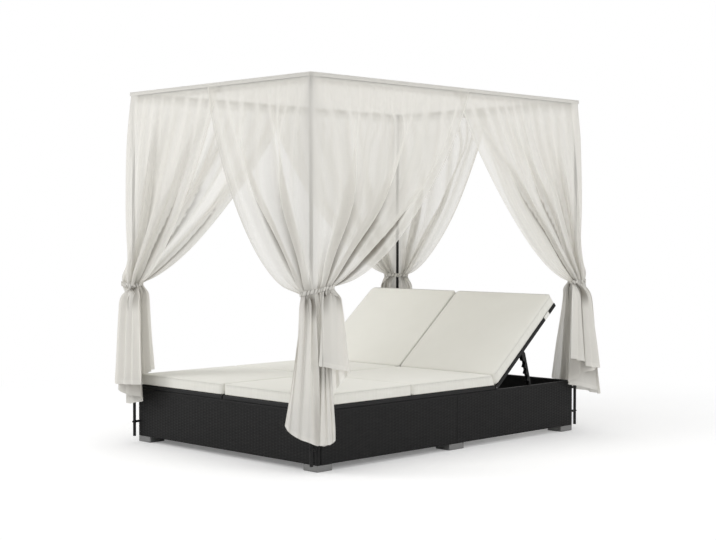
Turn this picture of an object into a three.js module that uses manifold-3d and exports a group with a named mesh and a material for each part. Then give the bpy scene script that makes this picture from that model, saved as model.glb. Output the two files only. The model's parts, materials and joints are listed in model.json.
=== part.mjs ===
// Outdoor daybed for two: a wicker box base, two side by side beds with raising backrests,
// and four poles that carry a roof cloth and four tied curtains.
// Millimetres. +X across the bed, +Y towards the head end, +Z up, origin on the floor under the centre.
import * as THREE from 'three'
import { mergeVertices } from 'three/addons/utils/BufferGeometryUtils.js'
import Module from 'manifold-3d'

const wasm = await Module()
wasm.setup()

const degree = Math.PI / 180

// Clearance between pieces that touch, and the overrun of cuts and welds
const fit_gap = 0.3
const overrun = 2

// Wicker base box
const base_width = 1360
const base_length = 1920
const wicker_height = 245
const panel_thickness = 22
const panel_rounding = 5
const post_side = 24
const post_rounding = 7
const seam_gap = 2

// Metal block feet
const foot_height = 30
const foot_side = 98
const middle_foot_length = 111
const foot_rounding = 8
const foot_bevel = 2

// Rails inside the base
const centre_rail_width = 30
const centre_rail_height = 30
const cross_rail_side = 25
const rail_rounding = 3

// Steel bed frames, one for each sleeper
const frame_tube = 20
const frame_inset = 4
const bed_spacing = 8
const slat_width = 40
const slat_thickness = 4
const slat_pitch = 120

// Backrest hinge, with the backrest shown raised on its top notch
const hinge_from_head = 644
const hinge_rod_radius = 4
const hinge_play = 0.3
const ear_thickness = 5
const ear_length = 70
const ear_wall = 5
const backrest_length = 640
const backrest_angle = 40 * degree

// Notched support that props each backrest on a fixed rod
const pivot_reach = 300
const pivot_drop = 12
const pivot_tube_radius = 6
const pivot_play = 0.4
const eye_wall = 4.6
const catch_rod_from_hinge = 314
const catch_rod_z = 220
const catch_rod_radius = 5
const catch_plate_side = 44
const catch_plate_thickness = 3
const notch_count = 6
const notch_pitch = 37
const tooth_depth = 13
const notch_slope = 32 * degree
const leg_width = 22
const leg_plate = 3
const leg_depth = 14
const leg_tail = 26
const leg_side_gap = 6
const brace_radius = 5

// Mattresses, each in a lying part with one fold and a back part
const mattress_thickness = 56
const mattress_crown = 4
const mattress_draw_in = 5
const mattress_side_swell = 3
const mattress_inset = 6
const mattress_gap = 7
const fold_from_foot = 640
const fold_depth = 16
const fold_half_width = 16
const mattress_end_lean = 26
const mattress_hinge_setback = 18
const back_mattress_start = 12
const back_mattress_overhang = 10

// Canopy poles and top tubes
const pole_radius = 8
const tube_wall = 1.2
const pole_inset = 7
const pole_offset = 30
const top_tube_height = 1794
const spigot_length = 34
const spigot_play = 0.5

// Bolts that hold each pole off its corner post
const bolt_radius = 3
const bolt_hole_play = 0.3
const bolt_depth = 16
const spacer_radius = 6.5
const bolt_head_radius = 5.5
const bolt_head_height = 4
const bolt_low = 105
const bolt_high = 235

// Roof cloth
const roof_thickness = 2
const roof_overlap = 5
const roof_sag = 14

// Curtains, measured from the pole that each one is drawn to
const curtain_thickness = 3
const curtain_meeting_gap = 4
const curtain_top_fold = 4
const curtain_fold = 12
const curtain_fold_growth = 400
const curtain_apex_drop = 152
const waist_height = 820
const waist_width_leg = 60
const waist_length_leg = 75
const waist_offset = 26
const waist_fold = 9
const hem_width_leg = 112
const hem_length_leg = 104
const hem_offset = 70
const hem_fold = 22
const edge_bow_share = 0.75
const width_folds = 2
const corner_folds = 0.5
const length_folds = 3
const columns_per_fold = 4

// Tie bands round the curtain waists
const tie_height = 22
const tie_thickness = 4
const tie_gap = 0.8

// Hem height above the floor at the end on the short side, at the pole and at the end on the long side
const hems = {
  foot_right: [150, 150, 440],
  foot_left: [300, 200, 290],
  head_right: [190, 200, 450],
  head_left: [200, 190, 330],
}

// Levels and outlines that follow from the sizes above
const rim_z = foot_height + wicker_height
const half_width = base_width / 2
const half_length = base_length / 2
const frame_z = rim_z + fit_gap
const hinge_y = half_length - hinge_from_head
const hinge_z = frame_z + frame_tube / 2
const catch_rod_y = hinge_y + catch_rod_from_hinge
const fold_y = -half_length + fold_from_foot
const mattress_z = frame_z + frame_tube + fit_gap
const pole_x = half_width - pole_inset
const pole_y = half_length + pole_offset
const tube_top_z = top_tube_height + pole_radius
const curtain_apex = tube_top_z - curtain_apex_drop
const bed_inner_x = bed_spacing / 2
const bed_outer_x = half_width - frame_inset
const bed_foot_y = -half_length + frame_inset

// Colours, roughness and metalness of the finishes
const finishes = {
  wicker: { color: 0x262626, roughness: 0.6, metalness: 0 },
  feet: { color: 0x8c8c8b, roughness: 0.45, metalness: 0.7 },
  black_steel: { color: 0x161616, roughness: 0.4, metalness: 0.3 },
  zinc: { color: 0x8a8a88, roughness: 0.35, metalness: 0.9 },
  mattress: { color: 0xe4e2db, roughness: 0.9, metalness: 0 },
  curtain: { color: 0xe2e0d8, roughness: 0.95, metalness: 0 },
}

function piece(name, geometry, finish) {
  const mesh = new THREE.Mesh(geometry, new THREE.MeshStandardMaterial(finishes[finish]))
  mesh.name = name
  return mesh
}

// Shapes
function block(x0, x1, y0, y1, z0, z1) {
  const geometry = new THREE.BoxGeometry(Math.abs(x1 - x0), Math.abs(y1 - y0), Math.abs(z1 - z0))
  return geometry.translate((x0 + x1) / 2, (y0 + y1) / 2, (z0 + z1) / 2)
}

function roundedRectangle(x0, x1, y0, y1, radius) {
  const shape = new THREE.Shape()
  shape.moveTo(x0 + radius, y0)
  shape.lineTo(x1 - radius, y0)
  shape.absarc(x1 - radius, y0 + radius, radius, -Math.PI / 2, 0)
  shape.lineTo(x1, y1 - radius)
  shape.absarc(x1 - radius, y1 - radius, radius, 0, Math.PI / 2)
  shape.lineTo(x0 + radius, y1)
  shape.absarc(x0 + radius, y1 - radius, radius, Math.PI / 2, Math.PI)
  shape.lineTo(x0, y0 + radius)
  shape.absarc(x0 + radius, y0 + radius, radius, Math.PI, 1.5 * Math.PI)
  return shape
}

function extrude(shape, from, to, steps = 3) {
  const geometry = new THREE.ExtrudeGeometry(shape, {
    depth: to - from,
    bevelEnabled: false,
    curveSegments: steps,
  })
  return geometry.translate(0, 0, from)
}

// Turns an extrusion so that its length runs along X, with the outline in Y and Z
function lengthAlongX(geometry) {
  return geometry.applyMatrix4(new THREE.Matrix4().set(0, 0, 1, 0, 1, 0, 0, 0, 0, 1, 0, 0, 0, 0, 0, 1))
}

// Turns an extrusion so that its length runs along Y, with the outline in Z and X
function lengthAlongY(geometry) {
  return geometry.applyMatrix4(new THREE.Matrix4().set(0, 1, 0, 0, 0, 0, 1, 0, 1, 0, 0, 0, 0, 0, 0, 1))
}

function barAlongX(x0, x1, y0, y1, z0, z1, radius) {
  return lengthAlongX(extrude(roundedRectangle(y0, y1, z0, z1, radius), x0, x1, 1))
}

function barAlongY(x0, x1, y0, y1, z0, z1, radius) {
  return lengthAlongY(extrude(roundedRectangle(z0, z1, x0, x1, radius), y0, y1, 1))
}

function circle(x, y, radius) {
  const shape = new THREE.Shape()
  shape.absarc(x, y, radius, 0, 2 * Math.PI)
  return shape
}

function rodAlongX(x0, x1, y, z, radius, steps = 6) {
  return lengthAlongX(extrude(circle(y, z, radius), x0, x1, steps))
}

function rodAlongY(y0, y1, x, z, radius, steps = 6) {
  return lengthAlongY(extrude(circle(z, x, radius), y0, y1, steps))
}

function openTube(radius, wall, from, to) {
  const shape = circle(0, 0, radius)
  const bore = new THREE.Path()
  bore.absarc(0, 0, radius - wall, 0, 2 * Math.PI)
  shape.holes.push(bore)
  return extrude(shape, from, to, 8)
}

// Joins and cuts
function solid(geometry) {
  const bare = geometry.clone()
  bare.deleteAttribute('normal')
  bare.deleteAttribute('uv')
  const merged = mergeVertices(bare, fit_gap / 1000)
  const mesh = new wasm.Mesh({
    numProp: 3,
    vertProperties: Float32Array.from(merged.attributes.position.array),
    triVerts: Uint32Array.from(merged.index.array),
  })
  return new wasm.Manifold(mesh)
}

function surface(manifold) {
  const mesh = manifold.getMesh()
  const geometry = new THREE.BufferGeometry()
  geometry.setAttribute('position', new THREE.BufferAttribute(Float32Array.from(mesh.vertProperties), 3))
  geometry.setIndex(Array.from(mesh.triVerts))
  geometry.computeVertexNormals()
  return geometry
}

function join(geometries) {
  let body = solid(geometries[0])
  for (const geometry of geometries.slice(1)) {
    body = body.add(solid(geometry))
  }
  return body
}

function cut(body, geometries) {
  let rest = body
  for (const geometry of geometries) {
    rest = rest.subtract(solid(geometry))
  }
  return rest
}

// Closes a sheet between two grids of points, with an optional swollen line round its rim
function closedSheet(columns, rows, front, back, rim) {
  const points = []
  const index = []
  const add = (point) => points.push(point.x, point.y, point.z) / 3 - 1
  const frontIds = []
  const backIds = []
  for (let row = 0; row <= rows; row += 1) {
    for (let column = 0; column <= columns; column += 1) {
      frontIds.push(add(front(column, row)))
      backIds.push(add(back(column, row)))
    }
  }
  const at = (ids, column, row) => ids[row * (columns + 1) + column]
  const quad = (a, b, c, d) => index.push(a, b, c, a, c, d)
  for (let row = 0; row < rows; row += 1) {
    for (let column = 0; column < columns; column += 1) {
      quad(
        at(frontIds, column, row),
        at(frontIds, column + 1, row),
        at(frontIds, column + 1, row + 1),
        at(frontIds, column, row + 1),
      )
      quad(
        at(backIds, column, row),
        at(backIds, column, row + 1),
        at(backIds, column + 1, row + 1),
        at(backIds, column + 1, row),
      )
    }
  }
  const loop = []
  for (let column = 0; column < columns; column += 1) loop.push([column, 0])
  for (let row = 0; row < rows; row += 1) loop.push([columns, row])
  for (let column = columns; column > 0; column -= 1) loop.push([column, rows])
  for (let row = rows; row > 0; row -= 1) loop.push([0, row])
  const middle = rim ? loop.map(([column, row]) => add(rim(column, row))) : null
  loop.forEach(([column, row], place) => {
    const next = (place + 1) % loop.length
    const [nextColumn, nextRow] = loop[next]
    const frontEdge = [at(frontIds, column, row), at(frontIds, nextColumn, nextRow)]
    const backEdge = [at(backIds, column, row), at(backIds, nextColumn, nextRow)]
    if (middle) {
      quad(frontEdge[1], frontEdge[0], middle[place], middle[next])
      quad(middle[next], middle[place], backEdge[0], backEdge[1])
    } else {
      quad(frontEdge[1], frontEdge[0], backEdge[0], backEdge[1])
    }
  })
  const geometry = new THREE.BufferGeometry()
  geometry.setAttribute('position', new THREE.Float32BufferAttribute(points, 3))
  geometry.setIndex(index)
  geometry.computeVertexNormals()
  return geometry
}

// Mirrors a geometry by the two signs and keeps its faces pointing out
function mirrored(geometry, signX, signY) {
  geometry.scale(signX, signY, 1)
  if (signX * signY < 0) {
    const order = geometry.index.array
    for (let corner = 0; corner < order.length; corner += 3) {
      const second = order[corner + 1]
      order[corner + 1] = order[corner + 2]
      order[corner + 2] = second
    }
    geometry.computeVertexNormals()
  }
  return geometry
}

const share = (from, to, part) => from + (to - from) * part

// Wicker base: panels between corner posts, standing on block feet
function basePanel(x0, x1, y0, y1) {
  if (Math.abs(x1 - x0) > Math.abs(y1 - y0)) {
    return barAlongX(x0, x1, y0, y1, foot_height, rim_z, panel_rounding)
  }
  return barAlongY(x0, x1, y0, y1, foot_height, rim_z, panel_rounding)
}

function cornerPost(signX, signY) {
  const outline = roundedRectangle(
    half_width - post_side,
    half_width,
    half_length - post_side,
    half_length,
    post_rounding,
  )
  const bore = bolt_radius + bolt_hole_play
  const holes = [bolt_low, bolt_high].map((height) =>
    rodAlongY(half_length - bolt_depth - 2 * fit_gap, half_length + overrun, pole_x, height, bore, 5),
  )
  const post = cut(solid(extrude(outline, foot_height + fit_gap, rim_z, 2)), holes)
  return mirrored(surface(post), signX, signY)
}

function footBlock(x0, x1, y0, y1) {
  const outline = roundedRectangle(
    x0 + foot_bevel,
    x1 - foot_bevel,
    y0 + foot_bevel,
    y1 - foot_bevel,
    foot_rounding - foot_bevel,
  )
  const geometry = new THREE.ExtrudeGeometry(outline, {
    depth: foot_height - 2 * foot_bevel,
    bevelEnabled: true,
    bevelThickness: foot_bevel,
    bevelSize: foot_bevel,
    bevelSegments: 1,
    curveSegments: 2,
  })
  return geometry.translate(0, 0, foot_bevel)
}

function buildBase() {
  const base = new THREE.Group()
  const panel_end_x = half_width - post_side - fit_gap
  const panel_end_y = half_length - post_side - fit_gap
  for (const [end, sign] of [['foot', -1], ['head', 1]]) {
    const faces = [sign * half_length, sign * (half_length - panel_thickness)].sort((a, b) => a - b)
    base.add(piece(`${end}_panel`, basePanel(-panel_end_x, panel_end_x, ...faces), 'wicker'))
  }
  for (const [side, signX] of [['left', -1], ['right', 1]]) {
    const faces = [signX * half_width, signX * (half_width - panel_thickness)].sort((a, b) => a - b)
    for (const [end, signY] of [['foot', -1], ['head', 1]]) {
      const reach = [signY * (seam_gap / 2), signY * panel_end_y].sort((a, b) => a - b)
      base.add(piece(`side_panel_${end}_${side}`, basePanel(...faces, ...reach), 'wicker'))
      base.add(piece(`corner_post_${end}_${side}`, cornerPost(signX, signY), 'wicker'))
      const footX = [signX * half_width, signX * (half_width - foot_side)].sort((a, b) => a - b)
      const footY = [signY * half_length, signY * (half_length - foot_side)].sort((a, b) => a - b)
      base.add(piece(`foot_block_${end}_${side}`, footBlock(...footX, ...footY), 'feet'))
    }
    const middleX = [signX * half_width, signX * (half_width - foot_side)].sort((a, b) => a - b)
    const middleY = [-middle_foot_length / 2, middle_foot_length / 2]
    base.add(piece(`foot_block_middle_${side}`, footBlock(...middleX, ...middleY), 'feet'))
  }
  const inner_x = half_width - panel_thickness - fit_gap
  const inner_y = half_length - panel_thickness - fit_gap
  const centre_rail_z = rim_z - centre_rail_height
  base.add(
    piece(
      'centre_rail',
      barAlongY(
        -centre_rail_width / 2,
        centre_rail_width / 2,
        -inner_y,
        inner_y,
        centre_rail_z,
        rim_z,
        rail_rounding,
      ),
      'black_steel',
    ),
  )
  base.add(
    piece(
      'cross_rail',
      barAlongX(
        -inner_x,
        inner_x,
        -cross_rail_side / 2,
        cross_rail_side / 2,
        centre_rail_z - fit_gap - cross_rail_side,
        centre_rail_z - fit_gap,
        rail_rounding,
      ),
      'black_steel',
    ),
  )
  const half_plate = catch_plate_side / 2
  const plates = [-1, 1].map((sign) =>
    block(
      sign * inner_x,
      sign * (inner_x - catch_plate_thickness),
      catch_rod_y - half_plate,
      catch_rod_y + half_plate,
      catch_rod_z - half_plate,
      catch_rod_z + half_plate,
    ),
  )
  const rod = rodAlongX(-inner_x, inner_x, catch_rod_y, catch_rod_z, catch_rod_radius, 8)
  base.add(piece('catch_rod', surface(join([rod, ...plates])), 'black_steel'))
  return base
}

// Slats lie flush with the top of the frame tubes and are welded to them
function slats(x0, x1, from, to, z1) {
  const count = Math.max(1, Math.round((to - from) / slat_pitch) - 1)
  const made = []
  for (let number = 1; number <= count; number += 1) {
    const y = share(from, to, number / (count + 1))
    made.push(block(x0, x1, y - slat_width / 2, y + slat_width / 2, z1 - slat_thickness, z1))
  }
  return made
}

// Lying part of one bed frame, with its hinge ears, in the frame of the right-hand bed
function seatFrame() {
  const z0 = frame_z
  const z1 = frame_z + frame_tube
  const eye = hinge_rod_radius + hinge_play
  const rail_end = hinge_y - frame_tube / 2 - eye
  const ear_radius = eye + ear_wall
  const inner = bed_inner_x + frame_tube
  const outer = bed_outer_x - frame_tube
  const parts = [
    barAlongY(bed_inner_x, inner, bed_foot_y, rail_end, z0, z1, rail_rounding),
    barAlongY(outer, bed_outer_x, bed_foot_y, rail_end, z0, z1, rail_rounding),
    barAlongX(inner - overrun, outer + overrun, bed_foot_y, bed_foot_y + frame_tube, z0, z1, rail_rounding),
    barAlongX(inner - overrun, outer + overrun, rail_end - frame_tube, rail_end, z0, z1, rail_rounding),
    ...slats(inner - overrun, outer + overrun, bed_foot_y + frame_tube, rail_end - frame_tube, z1),
  ]
  for (const [face, sign] of [[inner, 1], [outer, -1]]) {
    const ear = new THREE.Shape()
    ear.moveTo(hinge_y - ear_length, hinge_z - ear_radius)
    ear.lineTo(hinge_y, hinge_z - ear_radius)
    ear.absarc(hinge_y, hinge_z, ear_radius, -Math.PI / 2, Math.PI / 2)
    ear.lineTo(hinge_y - ear_length, hinge_z + ear_radius)
    const near = face + sign * fit_gap
    const far = near + sign * ear_thickness
    parts.push(lengthAlongX(extrude(ear, Math.min(near, far), Math.max(near, far), 4)))
    const weld = [face - sign * overrun, near + (sign * ear_thickness) / 2]
    parts.push(
      block(...weld, hinge_y - ear_length, rail_end - overrun, hinge_z - ear_radius, hinge_z + ear_radius),
    )
  }
  return cut(join(parts), [rodAlongX(bed_inner_x, bed_outer_x, hinge_y, hinge_z, eye, 6)])
}

// Raising part of one bed frame, laid along +Y from its hinge at the origin, in the right-hand bed's X
function backFrame() {
  const half = frame_tube / 2
  const eye = hinge_rod_radius + hinge_play
  const rail = new THREE.Shape()
  rail.moveTo(0, -half)
  rail.lineTo(backrest_length, -half)
  rail.lineTo(backrest_length, half)
  rail.lineTo(0, half)
  rail.absarc(0, 0, half, Math.PI / 2, 1.5 * Math.PI)
  const inner = bed_inner_x + frame_tube
  const outer = bed_outer_x - frame_tube
  const low_bar = half + eye + ear_wall + overrun
  const parts = [
    lengthAlongX(extrude(rail, bed_inner_x, inner, 4)),
    lengthAlongX(extrude(rail, outer, bed_outer_x, 4)),
    barAlongX(
      inner - overrun,
      outer + overrun,
      backrest_length - frame_tube,
      backrest_length,
      -half,
      half,
      rail_rounding,
    ),
    barAlongX(inner - overrun, outer + overrun, low_bar, low_bar + frame_tube, -half, half, rail_rounding),
    rodAlongX(inner - overrun, outer + overrun, pivot_reach, -pivot_drop, pivot_tube_radius, 8),
    ...slats(inner - overrun, outer + overrun, low_bar + frame_tube, backrest_length - frame_tube, half),
  ]
  const bore = rodAlongX(bed_inner_x - overrun, bed_outer_x + overrun, 0, 0, eye, 6)
  return cut(join(parts), [bore])
}

// Where the support's pivot stands when the backrest is raised, and how it reaches the catch rod
const pivot_y =
  hinge_y + pivot_reach * Math.cos(backrest_angle) + pivot_drop * Math.sin(backrest_angle)
const pivot_z =
  hinge_z + pivot_reach * Math.sin(backrest_angle) - pivot_drop * Math.cos(backrest_angle)
const support_reach = Math.hypot(catch_rod_y - pivot_y, pivot_z - catch_rod_z)
const support_lean = Math.atan2(catch_rod_y - pivot_y, pivot_z - catch_rod_z)

// Outline of a notched leg in its own plane: it hangs down -Z from the pivot eye, teeth towards -Y
function notchedPlate() {
  const eye = pivot_tube_radius + pivot_play + eye_wall
  const root = -(catch_rod_radius + 2 * fit_gap)
  const tip = root + tooth_depth
  const back = root - leg_depth
  const rise = tooth_depth * Math.tan(notch_slope)
  const roof_gap = (catch_rod_radius + 2 * fit_gap) / Math.cos(notch_slope)
  const end = support_reach + leg_tail
  const shape = new THREE.Shape()
  shape.absarc(0, 0, eye, -0.25 * Math.PI, 0.85 * Math.PI)
  for (let number = notch_count - 1; number >= 0; number -= 1) {
    const notch = support_reach - number * notch_pitch
    const roof_root = notch - roof_gap - root * Math.tan(notch_slope)
    const roof_tip = roof_root - rise
    shape.lineTo(-tip, -roof_tip)
    shape.lineTo(-root, -roof_root)
    if (number > 0) {
      shape.lineTo(-root, -(roof_root + tooth_depth))
    }
  }
  shape.lineTo(-root, -end + leg_depth / 2)
  shape.absarc(-root + leg_depth / 2, -end + leg_depth / 2, leg_depth / 2, Math.PI, 2 * Math.PI)
  shape.lineTo(-back, -2 * eye_wall - 2 * eye)
  return shape
}

// One support: two notched channel legs joined by a brace, hung from the backrest's pivot tube
function supportBody() {
  const inner = bed_inner_x + frame_tube + leg_side_gap
  const outer = bed_outer_x - frame_tube - leg_side_gap
  const root = -(catch_rod_radius + 2 * fit_gap)
  const back = root - leg_depth
  const eye = pivot_tube_radius + pivot_play + eye_wall
  const end = support_reach + leg_tail
  const plate = notchedPlate()
  const parts = []
  for (const x0 of [inner, outer - leg_width]) {
    parts.push(lengthAlongX(extrude(plate, x0, x0 + leg_plate, 4)))
    parts.push(lengthAlongX(extrude(plate, x0 + leg_width - leg_plate, x0 + leg_width, 4)))
    parts.push(
      block(
        x0 + leg_plate / 2,
        x0 + leg_width - leg_plate / 2,
        -back - leg_plate,
        -back,
        -end + leg_depth,
        -3 * eye,
      ),
    )
  }
  const brace_y = (-root - back) / 2
  const brace_z = -end + leg_depth
  parts.push(rodAlongX(inner + leg_plate / 2, outer - leg_plate / 2, brace_y, brace_z, brace_radius, 6))
  const bore = rodAlongX(inner - overrun, outer + overrun, 0, 0, pivot_tube_radius + pivot_play, 8)
  return cut(join(parts), [bore])
}

// Mattress part: crowned top, drawn-in sides and an optional sewn fold across it
function cushion(x0, x1, y0, y1, lean, fold) {
  const spans = fold === null ? [[y0, y1, 5]] : [
    [y0, fold - fold_half_width, 4],
    [fold - fold_half_width, fold, 1],
    [fold, fold + fold_half_width, 1],
    [fold + fold_half_width, y1, 4],
  ]
  const stations = [y0]
  for (const [from, to, count] of spans) {
    for (let step = 1; step <= count; step += 1) stations.push(share(from, to, step / count))
  }
  const columns = 6
  const rows = stations.length - 1
  const place = (column, row, level) => {
    const u = column / columns
    const v = (stations[row] - y0) / (y1 - y0)
    const hollow = mattress_draw_in * 4 * v * (1 - v)
    const endHollow = mattress_draw_in * 4 * u * (1 - u)
    const y = share(y0 + endHollow, y1 - endHollow - lean * level, v)
    return new THREE.Vector3(share(x0 + hollow, x1 - hollow, u), y, 0)
  }
  const top = (column, row) => {
    const point = place(column, row, 1)
    const u = column / columns
    const v = (stations[row] - y0) / (y1 - y0)
    const crown = 16 * u * (1 - u) * v * (1 - v)
    point.z = mattress_thickness + mattress_crown * Math.min(1, crown)
    if (fold !== null && stations[row] === fold) point.z -= fold_depth
    return point
  }
  const bottom = (column, row) => place(column, row, 0)
  const rim = (column, row) => {
    const point = place(column, row, 0.5)
    point.z = mattress_thickness / 2
    if (column === 0) point.x -= mattress_side_swell
    if (column === columns) point.x += mattress_side_swell
    return point
  }
  return closedSheet(columns, rows, top, bottom, rim)
}

// One bed: frame, hinge rod, raised backrest, support and mattress, mirrored for the left side
function buildBed(side, signX) {
  const bed = new THREE.Group()
  bed.add(piece(`seat_frame_${side}`, mirrored(surface(seatFrame()), signX, 1), 'black_steel'))
  const rod = solid(rodAlongX(bed_inner_x, bed_outer_x, hinge_y, hinge_z, hinge_rod_radius, 6))
  bed.add(piece(`hinge_rod_${side}`, mirrored(surface(rod), signX, 1), 'zinc'))
  const x0 = mattress_gap / 2 + mattress_side_swell
  const x1 = half_width - mattress_inset - mattress_side_swell
  const foot_y = -half_length + mattress_inset
  const lying = cushion(x0, x1, foot_y, hinge_y - mattress_hinge_setback, mattress_end_lean, fold_y)
  const mattress = piece(`mattress_seat_${side}`, mirrored(lying, signX, 1), 'mattress')
  mattress.position.z = mattress_z
  bed.add(mattress)

  const backrest = new THREE.Group()
  backrest.position.set(0, hinge_y, hinge_z)
  backrest.rotation.x = backrest_angle
  backrest.add(piece(`backrest_frame_${side}`, mirrored(surface(backFrame()), signX, 1), 'black_steel'))
  const back_end = backrest_length + back_mattress_overhang
  const raised = cushion(x0, x1, back_mattress_start, back_end, 0, null)
  const back = piece(`mattress_back_${side}`, mirrored(raised, signX, 1), 'mattress')
  back.position.z = frame_tube / 2 + fit_gap
  backrest.add(back)
  const support = piece(`support_${side}`, mirrored(surface(supportBody()), signX, 1), 'black_steel')
  support.position.set(0, pivot_reach, -pivot_drop)
  support.rotation.x = support_lean - backrest_angle
  backrest.add(support)
  bed.add(backrest)
  return bed
}

// Canopy poles, top tubes and the connectors that plug into their open ends
function poleGeometry() {
  const pole = solid(openTube(pole_radius, tube_wall, foot_height, top_tube_height - pole_radius - fit_gap))
  const bore = bolt_radius + bolt_hole_play
  const reach = pole_radius + overrun
  return surface(
    cut(pole, [bolt_low, bolt_high].map((height) => rodAlongY(-reach, reach, 0, height, bore, 5))),
  )
}

function connectorGeometry(signX, signY) {
  const radius = pole_radius - tube_wall - spigot_play
  const reach = pole_radius + spigot_length
  const ranges = (sign) => [Math.min(0, -sign * reach), Math.max(0, -sign * reach)]
  return surface(
    join([
      extrude(circle(0, 0, pole_radius), -pole_radius, pole_radius, 8),
      rodAlongX(...ranges(signX), 0, 0, radius, 6),
      rodAlongY(...ranges(signY), 0, 0, radius, 6),
      extrude(circle(0, 0, radius), -reach, 0, 6),
    ]),
  )
}

function boltGeometry() {
  const spacer_end = pole_offset - pole_radius - fit_gap
  const head = pole_offset + pole_radius + fit_gap
  const profile = [
    [0, -bolt_depth],
    [bolt_radius, -bolt_depth],
    [bolt_radius, fit_gap],
    [spacer_radius, fit_gap],
    [spacer_radius, spacer_end],
    [bolt_radius, spacer_end],
    [bolt_radius, head],
    [bolt_head_radius, head],
    [bolt_head_radius * 0.8, head + bolt_head_height],
    [0, head + bolt_head_height],
  ]
  return new THREE.LatheGeometry(profile.map(([r, y]) => new THREE.Vector2(r, y)), 8)
}

function buildCanopy() {
  const canopy = new THREE.Group()
  const tube_end_x = pole_x - pole_radius - fit_gap
  const tube_end_y = pole_y - pole_radius - fit_gap
  for (const [end, signY] of [['foot', -1], ['head', 1]]) {
    const tube = lengthAlongX(openTube(pole_radius, tube_wall, -tube_end_x, tube_end_x))
    const rail = piece(`top_tube_${end}`, tube, 'black_steel')
    rail.position.set(0, signY * pole_y, top_tube_height)
    canopy.add(rail)
    for (const [side, signX] of [['left', -1], ['right', 1]]) {
      const corner = `${end}_${side}`
      const pole = piece(`pole_${corner}`, poleGeometry(), 'black_steel')
      pole.position.set(signX * pole_x, signY * pole_y, 0)
      const connector = piece(`connector_${corner}`, connectorGeometry(signX, signY), 'black_steel')
      connector.position.set(signX * pole_x, signY * pole_y, top_tube_height)
      canopy.add(pole, connector)
      for (const [level, height] of [['low', bolt_low], ['high', bolt_high]]) {
        const bolt = piece(`bolt_${level}_${corner}`, boltGeometry(), 'zinc')
        bolt.position.set(signX * pole_x, signY * half_length, height)
        bolt.rotation.x = signY > 0 ? 0 : Math.PI
        canopy.add(bolt)
      }
    }
  }
  for (const [side, signX] of [['left', -1], ['right', 1]]) {
    const tube = lengthAlongY(openTube(pole_radius, tube_wall, -tube_end_y, tube_end_y))
    const rail = piece(`top_tube_${side}`, tube, 'black_steel')
    rail.position.set(signX * pole_x, 0, top_tube_height)
    canopy.add(rail)
  }
  return canopy
}

// Roof cloth laid over the tubes, sagging between them
function roofGeometry() {
  const reach_x = pole_x + roof_overlap
  const reach_y = pole_y + roof_overlap
  const stations_x = [-reach_x, -pole_x + pole_radius, -pole_x / 2, 0, pole_x / 2, pole_x - pole_radius, reach_x]
  const stations_y = [-reach_y, -pole_y + pole_radius, -pole_y / 2, 0, pole_y / 2, pole_y - pole_radius, reach_y]
  const surfacePoint = (column, row, level) => {
    const x = stations_x[column]
    const y = stations_y[row]
    const inward = Math.min(1, Math.max(0, 1 - Math.abs(x) / (pole_x - pole_radius)) * 2)
    const along = Math.min(1, Math.max(0, 1 - Math.abs(y) / (pole_y - pole_radius)) * 2)
    return new THREE.Vector3(x, y, tube_top_z + fit_gap - roof_sag * inward * along + level)
  }
  return closedSheet(
    stations_x.length - 1,
    stations_y.length - 1,
    (column, row) => surfacePoint(column, row, roof_thickness),
    (column, row) => surfacePoint(column, row, 0),
  )
}

// Curtain sections: the path runs in along the short side, round the pole and in along the long side
const top_offset = pole_radius + fit_gap + curtain_top_fold + curtain_thickness / 2
const tie_top = waist_height + tie_height / 2
const tie_bottom = waist_height - tie_height / 2

function sectionAbove(z) {
  const rise = Math.min(1, Math.max(0, (z - tie_top) / (curtain_apex - tie_top)))
  const open = rise ** edge_bow_share
  const fall = Math.min(1, (tube_top_z - z) / curtain_fold_growth)
  const hanging = share(curtain_top_fold, curtain_fold, fall)
  return {
    widthLeg: share(waist_width_leg, pole_x - curtain_meeting_gap / 2, open),
    lengthLeg: share(waist_length_leg, pole_y - curtain_meeting_gap / 2, open),
    offset: share(waist_offset, top_offset, (z - tie_top) / (tube_top_z - tie_top)),
    fold: share(waist_fold, hanging, Math.min(1, rise * 2)),
  }
}

function sectionBelow(drop) {
  const open = Math.sqrt(drop)
  return {
    widthLeg: share(waist_width_leg, hem_width_leg, open),
    lengthLeg: share(waist_length_leg, hem_length_leg, open),
    offset: share(waist_offset, hem_offset, open),
    fold: share(waist_fold, hem_fold, open),
  }
}

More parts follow.
